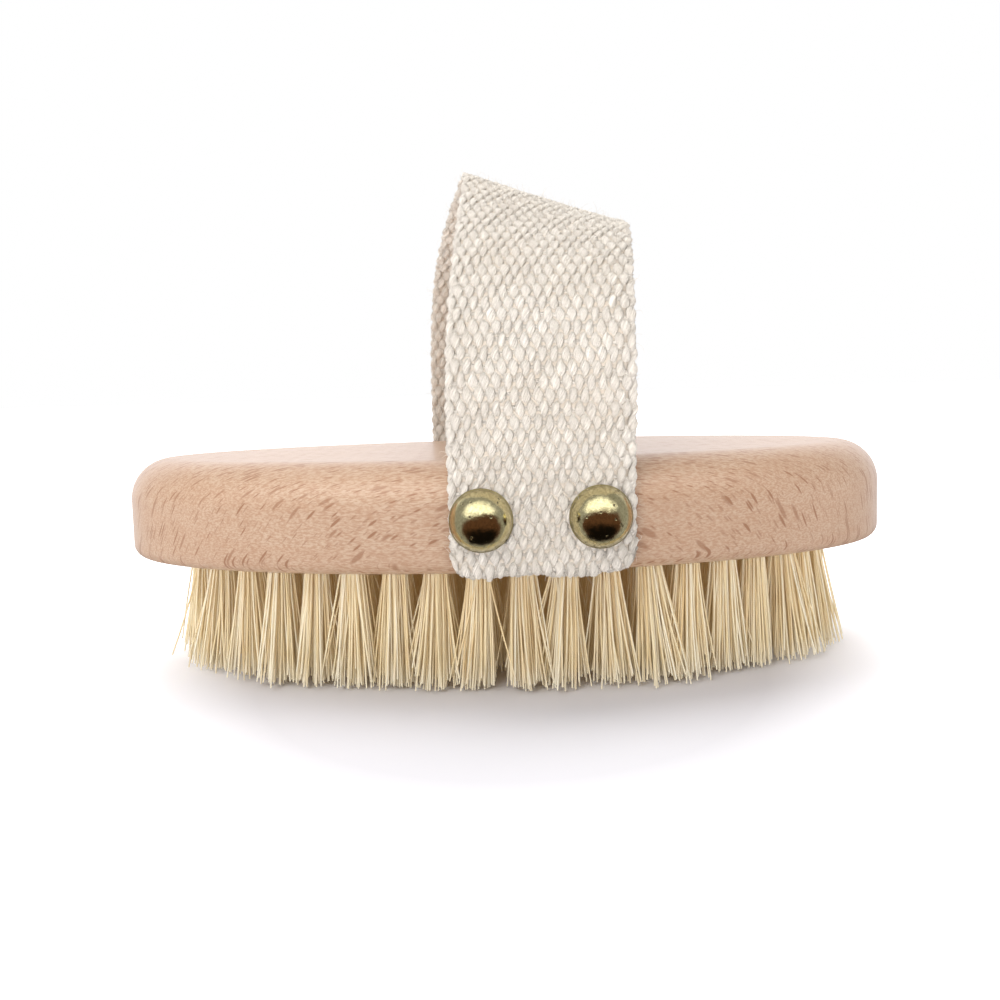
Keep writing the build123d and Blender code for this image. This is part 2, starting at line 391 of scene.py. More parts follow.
# ---- bristle ----
def make_bristle():
    """Natural bristle: straw with a paler split tip, each hair its own tone, and a painted warm glow."""
    material, n, shader = new_material("natural_bristle")
    place = n.object_place()
    tone = n.attribute("tone")
    along = n.attribute("along")
    hair = n.ramp(tone, [(0.0, (0.90, 0.75, 0.46)), (0.35, (0.95, 0.84, 0.58)), (0.75, (0.97, 0.93, 0.76)),
                         (1.0, (0.84, 0.65, 0.36))])
    base = drift(n, place, hair, (0.86, 0.67, 0.38, 1), 160.0, 0.35)
    tip = n.scaled(along, 6.0, -5.0, clamp=True)
    colour = n.blend(n.times(tip, 0.6), base, (0.96, 0.91, 0.76, 1))
    streak = fibres(n, n.xyz(n.split(place)[2], n.split(place)[0], n.split(place)[1]), 260.0, 9000.0, 2.0)
    colour = n.blend(n.times(streak, 0.16), colour, (0.66, 0.50, 0.27, 1))
    n.put(shader, "Base_Color", colour)
    n.put(shader, "Roughness", n.scaled(streak, 0.18, 0.38))
    # a painted warm glow, stronger towards the roots, stands in for light passing through and bouncing
    # between the hairs, so deep between the tufts they stay a warm brown
    n.put(shader, "Emission_Color", n.blend(along, (1.0, 0.56, 0.20, 1), (1.0, 0.74, 0.40, 1)))
    n.put(shader, "Emission_Strength", n.scaled(along, -0.025, 0.046))
    shader.inputs["Specular IOR Level"].default_value = 0.45
    n.relief(shader, 0.3, 0.04 * MM, streak)
    return material


# ---- metals ----
def make_brass():
    """Antique brass: greenish gold, dull in patches, with small dark spots."""
    material, n, shader = new_material("antique_brass")
    place = n.object_place()
    base = drift(n, place, (0.74, 0.67, 0.40, 1), (0.47, 0.40, 0.19, 1), 420.0, 0.55)
    spots = n.add("ShaderNodeTexVoronoi", Vector=place, Scale=900.0, Randomness=1.0)
    spot = n.times(n.minus(0.20, spots.outputs["Distance"]), 12.0, clamp=True)
    spot = n.times(spot, n.math("GREATER_THAN", n.split(spots.outputs["Color"])[0], 0.62))
    veil = n.scaled(n.noise(place, 900.0, 5.0, 0.7), 4.0, -2.2, clamp=True)
    rim = n.attribute("rim")
    grain = n.scaled(n.noise(place, 2600.0, 3.0, 0.7), 3.0, -1.3, clamp=True)
    colour = n.blend(n.times(grain, 0.65), base, (0.30, 0.26, 0.12, 1))
    colour = n.blend(n.times(veil, 0.45), colour, (0.32, 0.27, 0.12, 1))
    colour = n.blend(n.times(rim, 0.70), colour, (0.36, 0.31, 0.155, 1))
    colour = n.blend(n.times(spot, 0.8), colour, (0.12, 0.10, 0.05, 1))
    n.put(shader, "Base_Color", colour)
    shader.inputs["Metallic"].default_value = 1.0
    rough = n.scaled(n.plus(veil, grain), 0.11, 0.12)
    rough = n.scaled(rim, 0.22, rough)
    n.put(shader, "Roughness", n.scaled(spot, 0.3, rough))
    height = n.minus(n.times(n.noise(place, 1400.0, 4.0, 0.6), 0.5), spot)
    n.relief(shader, 0.6, 0.1 * MM, height)
    return material


def make_steel():
    """Drawn steel wire: fine lines, a little grey scale."""
    material, n, shader = new_material("drawn_steel")
    place = n.object_place()
    base = drift(n, place, (0.52, 0.52, 0.53, 1), (0.30, 0.29, 0.28, 1), 600.0, 0.6)
    lines = fibres(n, place, 200.0, 12000.0, 1.6)
    n.put(shader, "Base_Color", base)
    shader.inputs["Metallic"].default_value = 1.0
    n.put(shader, "Roughness", n.scaled(lines, 0.2, 0.3))
    n.relief(shader, 0.2, 0.03 * MM, lines)
    return material


BEECH = make_beech()
COTTON = make_cotton("cotton_yarn", (1.0, 0.94, 0.85, 1), (0.83, 0.735, 0.615, 1))
# the core's cotton is darker than the yarn's: painted shade for the gaps between the warp's knuckles, where
# the core shows
COTTON_CORE_SHADED = make_cotton("cotton_core", (0.86, 0.77, 0.66, 1), (0.72, 0.62, 0.50, 1), 0.1)
BRISTLE = make_bristle()
BRASS = make_brass()
STEEL = make_steel()


# ---- geometry nodes ----
def make_strand_group():
    """Turns points into thin tapering strands. Each point carries strand_root, strand_tip and
    strand_bow, measured from the point; the strand runs from root to tip and bows between."""
    tree, n, given, out = new_group("strands", "GeometryNodeTree",
        [("Points", "Geometry", None), ("Segments", "Int", 5),
         ("Sides", "Int", 3), ("Thickness", "Float", 0.0002),
         ("Taper", "Float", 0.4), ("Ease", "Float", 1.5)],
        [("Strands", "Geometry")])

    def named(name):
        return n.named(name, "FLOAT_VECTOR")

    base = n.store(given["Points"], "strand_base", n.position(), "FLOAT_VECTOR")
    line = n.add("GeometryNodeCurvePrimitiveLine", End=(0, 0, 0.001))
    line = n.add("GeometryNodeResampleCurve", Curve=line, Count=n.plus(given["Segments"], 1.0))
    placed = n.add("GeometryNodeInstanceOnPoints", Points=base, Instance=line)
    real = n.add("GeometryNodeRealizeInstances", Geometry=placed)
    t = n.add("GeometryNodeSplineParameter").outputs["Factor"]
    eased = n.math("POWER", t, given["Ease"])
    bow = n.math("SINE", n.times(t, math.pi))
    root, tip = named("strand_root"), named("strand_tip")
    root_parts, tip_parts = n.split(root), n.split(tip)
    side = n.add("ShaderNodeMix", {"data_type": "VECTOR"}, i0=eased, i4=root, i5=tip).outputs[1]
    drop = n.add("ShaderNodeMix", {"data_type": "FLOAT"}, i0=t, i2=root_parts[2],
                 i3=tip_parts[2]).outputs[0]
    side_parts = n.split(side)
    place = n.vector("ADD", named("strand_base"), n.xyz(side_parts[0], side_parts[1], drop))
    place = n.vector("ADD", place, n.vector("SCALE", named("strand_bow"), bow))
    moved = n.add("GeometryNodeSetPosition", Geometry=real, Position=place)
    radius = n.times(given["Thickness"], n.minus(1.0, n.times(t, given["Taper"])))
    marked = n.store(moved, "along", t)
    sized = n.add("GeometryNodeSetCurveRadius", Curve=marked, Radius=radius)
    ring = n.add("GeometryNodeCurvePrimitiveCircle", Resolution=given["Sides"], Radius=1.0)
    tube = n.add("GeometryNodeCurveToMesh", Curve=sized, Profile_Curve=ring, Fill_Caps=True,
                 Scale=n.add("GeometryNodeInputRadius"))
    for name in ("strand_base", "strand_root", "strand_tip", "strand_bow"):
        tube = n.add("GeometryNodeRemoveAttribute", Geometry=tube, Name=name)
    tree.links.new(tube.outputs[0], out.inputs[0])
    return tree


STRANDS = make_strand_group()


def random_value(n, low, high, seed, ident=None):
    """A number, or a vector where low is one, drawn for each point, or for each ident."""
    kind = "FLOAT_VECTOR" if isinstance(low, tuple) else "FLOAT"
    node = n.add("FunctionNodeRandomValue", {"data_type": kind}, Min=low, Max=high, Seed=seed)
    if ident is not None:
        n.put(node, "ID", ident)
    return next(s for s in node.outputs if s.enabled)


def make_tuft_group():
    """Bristle tufts from points at their hole mouths: packed at the root, open at the tips."""
    tree, n, given, out = new_group("bristle tufts", "GeometryNodeTree",
        [("Geometry", "Geometry", None), ("Bristles", "Int", 90),
         ("Root Radius", "Float", 0.00195), ("Tip Radius", "Float", 0.0040),
         ("Length", "Float", 0.0215), ("Uneven Ends", "Float", 0.0021),
         ("Stray", "Float", 0.0048), ("Thickness", "Float", 0.00018),
         ("Seed", "Int", 1), ("Material", "Material", None)],
        [("Geometry", "Geometry")])

    def draw(low, high, number, ident=None):
        return random_value(n, low, high, n.plus(given["Seed"], number), ident)

    points = n.add("GeometryNodeMeshToPoints", Mesh=given["Geometry"])
    # how far each tuft's tip leans, in millimetres: at random, and outwards from the middle
    lean = n.vector("ADD", draw((-1.1, -1.0, 0), (1.1, 1.0, 0), 11),
                    n.vector("MULTIPLY", n.position(), (17.0, 20.0, 0.0)))
    turn = draw(0.0, 6.283, 12)
    fan = draw(0.82, 1.24, 13)
    own = n.store(points, "tuft_lean", lean, "FLOAT_VECTOR")
    own = n.store(own, "tuft", n.xyz(turn, fan, 0.0), "FLOAT_VECTOR")
    many = n.add("GeometryNodeDuplicateElements", {"domain": "POINT"}, Geometry=own,
                 Amount=given["Bristles"])
    i = many.outputs["Duplicate Index"]
    ident = n.index()
    turn, fan = n.split(n.named("tuft", "FLOAT_VECTOR"))[:2]
    lean = n.split(n.named("tuft_lean", "FLOAT_VECTOR"))
    share = n.math("SQRT", n.over(n.plus(i, 0.5), given["Bristles"]))
    angle = n.plus(n.scaled(i, GOLDEN_ANGLE, turn), draw(-0.5, 0.5, 1, ident))
    aim = n.xyz(n.math("COSINE", angle), n.math("SINE", angle), 0.0)
    root = n.vector("SCALE", aim, n.times(share, given["Root Radius"]))
    spread = n.times(draw(0.45, 1.35, 2, ident), n.times(fan, given["Tip Radius"]))
    tip = n.vector("SCALE", aim, n.times(share, spread))
    tip = n.vector("ADD", tip, n.xyz(n.times(lean[0], MM), n.times(lean[1], MM), 0.0))
    wild = n.math("POWER", draw(0.0, 1.0, 3, ident), 9.0)
    wander = draw((-1, -1, 0), (1, 1, 0), 4, ident)
    tip = n.vector("ADD", tip, n.vector("SCALE", wander, n.times(wild, given["Stray"])))
    small = draw((-0.55, -0.55, 0), (0.55, 0.55, 0), 5, ident)
    tip = n.vector("ADD", tip, n.vector("SCALE", small, MM))
    short = n.math("POWER", draw(0.0, 1.0, 6, ident), 2.2)
    low = n.minus(n.times(short, given["Uneven Ends"]), given["Length"])
    low = n.scaled(wild, 2.5 * MM, low)         # a stray end rises as it swings out
    tip = n.vector("ADD", tip, n.xyz(0.0, 0.0, low))
    bow = n.vector("SCALE", draw((-1, -1, 0), (1, 1, 0), 7, ident), 0.34 * MM)
    tone = draw(0.0, 1.0, 8, ident)
    made = many.outputs["Geometry"]
    for name, kind, value in (("strand_root", "FLOAT_VECTOR", root), ("strand_tip", "FLOAT_VECTOR", tip),
                              ("strand_bow", "FLOAT_VECTOR", bow), ("tone", "FLOAT", tone)):
        made = n.store(made, name, value, kind)
    hairs = n.add("GeometryNodeGroup", {"node_tree": STRANDS}, Points=made, Segments=6, Sides=4,
                  Thickness=given["Thickness"], Taper=0.2, Ease=1.15)
    for name in ("tuft", "tuft_lean"):
        hairs = n.add("GeometryNodeRemoveAttribute", Geometry=hairs, Name=name)
    painted = n.add("GeometryNodeSetMaterial", Geometry=hairs, Material=given["Material"])
    tree.links.new(painted.outputs[0], out.inputs[0])
    return tree


def run_nodes(name, tree, mesh, values, material):
    """Runs a geometry node tree on a mesh and returns the result as a piece."""
    source = bpy.data.objects.new(name + "_source", mesh)
    bpy.context.scene.collection.objects.link(source)
    modifier = source.modifiers.new("nodes", "NODES")
    modifier.node_group = tree
    sockets = {s.name: s.identifier for s in tree.interface.items_tree
               if s.item_type == "SOCKET" and s.in_out == "INPUT"}
    for label, value in values.items():
        modifier[sockets[label]] = value
    return make_real(name, source, material)


def tuft_mouths(node):
    """The middle of each tuft's hole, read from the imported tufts' upper ends."""
    co = np.array([v.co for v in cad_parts[node].data.vertices], float)
    upper = co[co[:, 2] > co[:, 2].max() - 0.2 * MM]
    found = []
    for p in upper:
        for group in found:
            if np.hypot(*(group[0][:2] - p[:2])) < HOLE_APART:
                group.append(p)
                break
        else:
            found.append([p])
    middles = [(np.min(g, axis=0) + np.max(g, axis=0)) / 2 for g in found]
    return sorted((round(float(m[0]), 6), round(float(m[1]), 6)) for m in middles)


def make_bristles():
    tree = make_tuft_group()
    for k, row in enumerate(("outer", "second", "third", "fourth", "centre")):
        mouths = tuft_mouths(f"tufts_{row}")
        mesh = bpy.data.meshes.new(f"mouths_{row}")
        mesh.from_pydata([(x, y, BRISTLE_ROOT) for x, y in mouths], [], [])
        piece = run_nodes(f"bristles_{row}", tree, mesh,
                          {"Bristles": 93 if row == "outer" else 94, "Seed": 100 + 37 * k,
                           "Material": BRISTLE, "Length": BRISTLE_ROOT}, BRISTLE)
        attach(piece, "brush")
        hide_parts(f"tufts_{row}")
        print(row, len(mouths), "tufts", len(piece.data.polygons), "faces")


# ---- the webbing's path ----
def side_y(x, side):
    """Where the webbing's middle surface lies beside the block, at x on one side of it."""
    return side * (HALF_WIDTH * np.sqrt(1 - (x / HALF_LENGTH) ** 2) + WEB_SEAT)


def nailed_edge(x, side, heights):
    return [(x, side_y(x, side), z) for z in heights]


def web_edges(count):
    """Both edges of the webbing's middle surface, from the front cut end to the back one."""
    low = WEB_CUT_LOW
    heights = [low, low + 4 * MM, low + 9 * MM, low + 13.5 * MM]
    lines = []
    for loop in (LEFT_EDGE, RIGHT_EDGE):
        loop = [tuple(c * MM for c in p) for p in loop]
        front = nailed_edge(loop[0][0], -1, heights)
        back = nailed_edge(loop[-1][0], 1, heights[::-1])
        lines.append(smooth_line(front + loop + back, count))
    return lines


def web_surface(rows, columns, margin):
    """Points and flat places (across, along) of the webbing's middle surface, with a margin outside."""
    left, right = web_edges(1201)
    middle = (left + right) / 2
    run = np.concatenate([[0], np.cumsum(np.linalg.norm(np.diff(middle, axis=0), axis=1))])
    length = run[-1]
    along = np.linspace(-margin, length + margin, rows)
    across = np.linspace(-margin, WEB_WIDTH + margin, columns)
    inside = np.clip(along, 0, length)

    def at(line):
        p = np.stack([np.interp(inside, run, line[:, k]) for k in range(3)], axis=1)
        start, end = line[1] - line[0], line[-1] - line[-2]
        over = along - inside
        step = np.where(over[:, None] < 0, start / np.linalg.norm(start), end / np.linalg.norm(end))
        return p + step * over[:, None]

    a, b = at(left), at(right)
    share = across / WEB_WIDTH
    p = a[:, None] + (b - a)[:, None] * share[None, :, None]
    # the nailed ends follow the block's curved side, the loop is straight across
    for side, hold in ((-1, inside), (1, length - inside)):
        grip = 1 - np.clip((hold - NAILED) / RELEASE, 0, 1)
        grip = grip * grip * (3 - 2 * grip)
        near = hold < NAILED + RELEASE + MM
        one, other = side_y(a[:, 0], side), side_y(b[:, 0], side)
        bulge = side_y(p[..., 0], side) - one[:, None] - (other - one)[:, None] * share[None]
        p[..., 1] += np.where(near[:, None], bulge * grip[:, None], 0)
    return p, across, along, length


def grid_faces(rows, columns):
    corners = [r * columns + c for r in range(rows - 1) for c in range(columns - 1)]
    return [(a, a + 1, a + 1 + columns, a + columns) for a in corners]


def surface_mesh(name, p, across, along):
    """The webbing's middle surface as a sheet whose map says where each point lies when flat."""
    rows, columns = p.shape[:2]
    mesh = bpy.data.meshes.new(name)
    mesh.from_pydata([tuple(v) for v in p.reshape(-1, 3)], [], grid_faces(rows, columns))
    mesh.update()
    uv = mesh.uv_layers.new(name="flat")
    corner = np.empty(len(mesh.loops), int)
    mesh.loops.foreach_get("vertex_index", corner)
    flat = np.stack([across[corner % columns], along[corner // columns]], axis=1)
    uv.data.foreach_set("uv", flat.astype(np.float32).ravel())
    return mesh


def make_weave_group(kind):
    """Weaves the webbing flat, as warp or weft, and lays it on the surface it is given."""
    tree, n, given, out = new_group(f"webbing {kind}", "GeometryNodeTree",
        [("Surface", "Geometry", None), ("Width", "Float", 0.029),
         ("Length", "Float", 0.18), ("Pick", "Float", 0.00224),
         ("Yarns", "Int", 32), ("First", "Int", 0), ("Count", "Int", 16),
         ("Lift", "Float", 0.0005), ("Radius", "Float", 0.0005),
         ("Steps", "Int", 6), ("Sides", "Int", 12),
         ("Flatness", "Float", 0.56), ("Corner", "Float", 0.003),
         ("Seed", "Int", 5), ("Material", "Material", None)],
        [("Geometry", "Geometry")])
    picks = n.over(given["Length"], given["Pick"])
    if kind == "warp":
        pitch = n.over(given["Width"], given["Yarns"])
        starts = n.add("GeometryNodeMeshLine", {"mode": "OFFSET"}, Count=given["Count"],
                       Offset=n.xyz(pitch, 0.0, 0.0),
                       Start_Location=n.xyz(n.times(n.plus(given["First"], 0.5), pitch), 0.0, 0.0))
        index = n.plus(n.index(), given["First"])
        starts = n.store(starts, "yarn", index)
        starts = n.store(starts, "tone", random_value(n, 0.0, 1.0, given["Seed"], ident=index))
        line = n.add("GeometryNodeCurvePrimitiveLine", End=n.xyz(0.0, given["Length"], 0.0))
        line = n.add("GeometryNodeResampleCurve", Curve=line,
                     Count=n.scaled(picks, given["Steps"], 1.0))
        yarns = n.add("GeometryNodeInstanceOnPoints", Points=starts, Instance=line)
        yarns = n.add("GeometryNodeRealizeInstances", Geometry=yarns)
        place = n.split(n.position())
        yarn = n.named("yarn")
        phase = n.plus(n.minus(n.over(place[1], given["Pick"]), 0.5), yarn)
        wave = n.math("COSINE", n.times(phase, math.pi))
        crest = n.math("ABSOLUTE", wave)
        shaped = n.times(n.math("SIGN", wave), n.math("POWER", crest, 0.75))
        jitter = n.noise(n.xyz(n.times(yarn, 3.7), n.times(place[1], 430.0), 0.0), 1.0, 1.0)
        jitter2 = n.noise(n.xyz(n.times(yarn, 5.1), n.times(place[1], 330.0), 9.0), 1.0, 1.0)
        rise = n.times(n.times(shaped, given["Lift"]), n.scaled(jitter, 0.6, 0.7))
        sway = n.times(n.minus(jitter2, 0.5), 0.42 * MM)
        # cut ends are not all level
        cut = n.noise(n.xyz(n.times(yarn, 0.9), 3.0, 0.0), 1.0, 2.0)
        cut = n.times(n.minus(cut, 0.5), 1.6 * MM)
        ends = n.minus(1.0, n.over(place[1], n.times(given["Length"], 0.5)))
        spot = n.xyz(n.plus(place[0], sway), n.scaled(cut, ends, place[1]), rise)
        moved = n.add("GeometryNodeSetPosition", Geometry=yarns, Position=spot)
        swell = n.scaled(n.math("POWER", crest, 0.6), 0.42, 0.62)
        radius = n.times(n.times(swell, given["Radius"]), n.scaled(jitter2, 0.24, 0.88))
        tilt = n.scaled(n.split(n.position())[1], 2 * math.pi / PLY_TWIST, n.times(yarn, 1.3))
    else:
        wavy = n.add("GeometryNodeMeshLine", {"mode": "OFFSET"},
                     Count=n.scaled(picks, float(WEFT_STEPS), 1.0), Offset=(0.0, 0.0, 0.0001))
        theta = n.times(n.index(), math.pi / WEFT_STEPS)
        # the yarn swings from edge to edge, a little slower at its turns
        swing = n.times(n.math("COSINE", theta), n.scaled(given["Width"], 0.5, -0.4 * MM))
        x = n.minus(n.times(given["Width"], 0.5), swing)
        slow = n.over(n.math("SINE", n.times(theta, 2.0)), 2 * math.pi)
        y = n.times(given["Pick"], n.plus(n.over(theta, math.pi), slow))
        jog = n.noise(n.xyz(n.math("FLOOR", n.over(theta, math.pi)), 0.0, 0.0), 1.0, 1.0)
        jog = n.minus(jog, 0.5)
        x = n.scaled(n.times(jog, -0.9 * MM), n.math("COSINE", theta), x)
        path = n.add("GeometryNodeMeshToCurve", Mesh=wavy)
        moved = n.add("GeometryNodeSetPosition", Geometry=path, Position=n.xyz(x, y, 0.0))
        radius = given["Radius"]
        tilt = n.times(theta, 3.0)
    sized = n.add("GeometryNodeSetCurveRadius", Curve=moved, Radius=radius)
    upright = n.add("GeometryNodeSetCurveNormal", {"mode": "Z_UP"}, Curve=sized)
    twisted = n.add("GeometryNodeSetCurveTilt", Curve=upright, Tilt=tilt)
    marked = n.store(twisted, "yarn_along", n.add("GeometryNodeSplineParameter").outputs["Length"])
    marked = n.store(marked, "yarn_height", n.split(n.position())[2])
    ring = n.add("GeometryNodeCurvePrimitiveCircle", Resolution=given["Sides"], Radius=1.0)
    # two plies show as a pair of lobes that wind along the yarn
    factor = n.add("GeometryNodeSplineParameter").outputs["Factor"]
    lobe = n.math("ABSOLUTE", n.math("COSINE", n.times(factor, 2 * math.pi)))
    plied = n.vector("SCALE", n.position(), n.scaled(lobe, 0.36, 0.68))
    plied = n.add("GeometryNodeSetPosition", Geometry=ring, Position=plied)
    wound = n.times(factor, 2 * math.pi)
    turned = n.store(plied, "yarn_side", n.xyz(n.math("COSINE", wound), n.math("SINE", wound), 0.0),
                     "FLOAT_VECTOR")
    tube = n.add("GeometryNodeCurveToMesh", Curve=marked, Profile_Curve=turned, Fill_Caps=True,
                 Scale=n.add("GeometryNodeInputRadius"))
    # lay the flat weave on the strap's surface
    flat = n.split(n.position())
    uv = n.named("flat", "FLOAT_VECTOR")
    level = n.named("yarn_height")
    height = n.scaled(n.minus(flat[2], level), given["Flatness"], level)
    # both cut ends are wavy and their corners rounded off
    near = n.math("MINIMUM", flat[0], n.minus(given["Width"], flat[0]))
    near = n.math("MAXIMUM", 0.0, n.minus(given["Corner"], near))
    near = n.math("MINIMUM", near, given["Corner"])
    rounded = n.minus(n.times(given["Corner"], given["Corner"]), n.times(near, near))
    inset = n.minus(given["Corner"], n.math("SQRT", rounded))
    far = n.minus(given["Length"], flat[1])
    first_end = n.times(n.math("GREATER_THAN", far, flat[1]), 4.0)
    wavy = n.noise(n.xyz(n.times(flat[0], 130.0), first_end, 0.0), 1.0, 1.0)
    inset = n.scaled(n.minus(wavy, 0.42), CUT_WAVE, inset)
    soft_end = n.times(inset, n.minus(1.0, n.over(flat[1], CUT_REACH), clamp=True))
    other = n.times(inset, n.minus(1.0, n.over(far, CUT_REACH), clamp=True))
    spot = n.xyz(flat[0], n.minus(n.plus(flat[1], soft_end), other), 0.0)

    def sample(value):
        node = n.add("GeometryNodeSampleUVSurface", {"data_type": "FLOAT_VECTOR"}, Mesh=given["Surface"])
        n.put(node, "Value", value)
        for key, socket in (("UV_Map", uv), ("Source_UV_Map", uv), ("Sample_UV", spot)):
            if any(s.name.replace(" ", "_") == key and s.enabled for s in node.inputs):
                n.put(node, key, socket)
        return node.outputs[0]

    ground = sample(n.position())
    normal = sample(n.add("GeometryNodeInputNormal").outputs[0])
    lift = n.vector("SCALE", n.vector("NORMALIZE", normal), height)
    laid = n.add("GeometryNodeSetPosition", Geometry=tube, Position=n.vector("ADD", ground, lift))
    laid = n.add("GeometryNodeRealizeInstances", Geometry=laid)
    laid = n.add("GeometryNodeRemoveAttribute", Geometry=laid, Name="yarn_height")
    painted = n.add("GeometryNodeSetMaterial", Geometry=laid, Material=given["Material"])
    tree.links.new(painted.outputs[0], out.inputs[0])
    return tree


def make_fuzz_group():
    """Loose fibres that stand up from the surface they are given."""
    tree, n, given, out = new_group("cotton fuzz", "GeometryNodeTree",
        [("Surface", "Geometry", None), ("Density", "Float", 300000.0),
         ("Reach", "Float", 0.0014), ("Thickness", "Float", 0.000026),
         ("Seed", "Int", 9), ("Material", "Material", None)],
        [("Geometry", "Geometry")])
    spread = n.add("GeometryNodeDistributePointsOnFaces", Mesh=given["Surface"],
                   Density=given["Density"], Seed=given["Seed"])
    any_way = random_value(n, (-1, -1, -1), (1, 1, 1), n.plus(given["Seed"], 1))
    short = random_value(n, 0.3, 1.0, n.plus(given["Seed"], 2))
    reach = n.times(given["Reach"], n.math("POWER", short, 2.0))
    tip = n.vector("ADD", n.vector("SCALE", spread.outputs["Normal"], 0.75), any_way)
    tip = n.vector("SCALE", tip, reach)
    bow = random_value(n, (-1, -1, -1), (1, 1, 1), n.plus(given["Seed"], 3))
    bow = n.vector("SCALE", bow, n.times(reach, 0.5))
    made = spread.outputs["Points"]
    for name, kind, value in (("strand_root", "FLOAT_VECTOR", (0, 0, 0)),
                              ("strand_tip", "FLOAT_VECTOR", tip), ("strand_bow", "FLOAT_VECTOR", bow),
                              ("tone", "FLOAT", random_value(n, 0.0, 0.5, n.plus(given["Seed"], 4)))):
        made = n.store(made, name, value, kind)
    hairs = n.add("GeometryNodeGroup", {"node_tree": STRANDS}, Points=made, Segments=4, Sides=3,
                  Thickness=given["Thickness"], Taper=0.5, Ease=1.0)
    painted = n.add("GeometryNodeSetMaterial", Geometry=hairs, Material=given["Material"])
    tree.links.new(painted.outputs[0], out.inputs[0])
    return tree


def make_core(p, across, along):
    """The closed band inside the weave, between the warp's two faces, in a darker cotton that is painted
    shade where it shows in the weave's gaps.
    """
    rows, columns = p.shape[:2]
    du, dv = np.gradient(p, axis=0), np.gradient(p, axis=1)
    normal = np.cross(dv, du)
    normal /= np.linalg.norm(normal, axis=2, keepdims=True)
    lift = normal * CORE_HALF
    verts = np.concatenate([(p + lift).reshape(-1, 3), (p - lift).reshape(-1, 3)])
    k = rows * columns
    faces = []
    for a, b, d, e in grid_faces(rows, columns):
        faces += [(a, b, d, e), (k + e, k + d, k + b, k + a)]
    edge = [r * columns for r in range(rows)], [r * columns + columns - 1 for r in range(rows)]
    for a, b in zip(edge[0], edge[0][1:]):
        faces.append((a, b, k + b, k + a))
    for a, b in zip(edge[1], edge[1][1:]):
        faces.append((b, a, k + a, k + b))
    for c in range(columns - 1):
        faces.append((c + 1, c, k + c, k + c + 1))
        last = (rows - 1) * columns
        faces.append((last + c, last + c + 1, k + last + c + 1, k + last + c))
    return mesh_piece("webbing_core", verts, faces, COTTON_CORE_SHADED)


def outward(mesh):
    """Recalculates a closed mesh's normals so that they point out."""
    b = bmesh.new()
    b.from_mesh(mesh)
    bmesh.ops.recalc_face_normals(b, faces=b.faces)
    b.to_mesh(mesh)
    b.free()


def make_strap():
    p, across, along, length = web_surface(420, 17, 2.5 * MM)
    surface = surface_mesh("webbing_surface", p, across, along)
    picks = round(length / PICK)
    common = {"Width": WEB_WIDTH, "Length": length, "Pick": length / picks, "Yarns": WARP_YARNS,
              "Material": COTTON}
    warp, weft = make_weave_group("warp"), make_weave_group("weft")
    pieces = []
    half = WARP_YARNS // 2
    for name, first in (("webbing_warp_left", 0), ("webbing_warp_right", half)):
        values = dict(common, First=first, Count=half, Lift=YARN_LIFT, Radius=YARN_RADIUS)
        pieces.append(run_nodes(name, warp, surface.copy(), values, COTTON))
    values = dict(common, Radius=WEFT_RADIUS, Sides=8)
    pieces.append(run_nodes("webbing_weft", weft, surface.copy(), values, COTTON))
    inner, a, s, _ = web_surface(200, 9, -1.0 * MM)
    core = make_core(inner, a, s)
    fuzz = make_fuzz_group()
    for piece in list(pieces[:2]):
        values = {"Density": FUZZ_DENSITY, "Material": COTTON, "Seed": 21 + len(pieces)}
        name = piece.name.replace("warp", "fuzz")
        pieces.append(run_nodes(name, fuzz, piece.data.copy(), values, COTTON))
    for piece in pieces + [core]:
        outward(piece.data)
        print(piece.name, len(piece.data.polygons), "faces")
    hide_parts("strap_loop", "strap_front_end", "strap_back_end")
    # each piece's placement goes into its mesh
    for piece in pieces + [core]:
        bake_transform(piece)
    print("webbing length", round(length, 4), "picks", picks)


# ---- tacks ----
DOME_HEIGHT = 4.0 * MM
DOME_RINGS, DOME_SEGMENTS = 26, 72


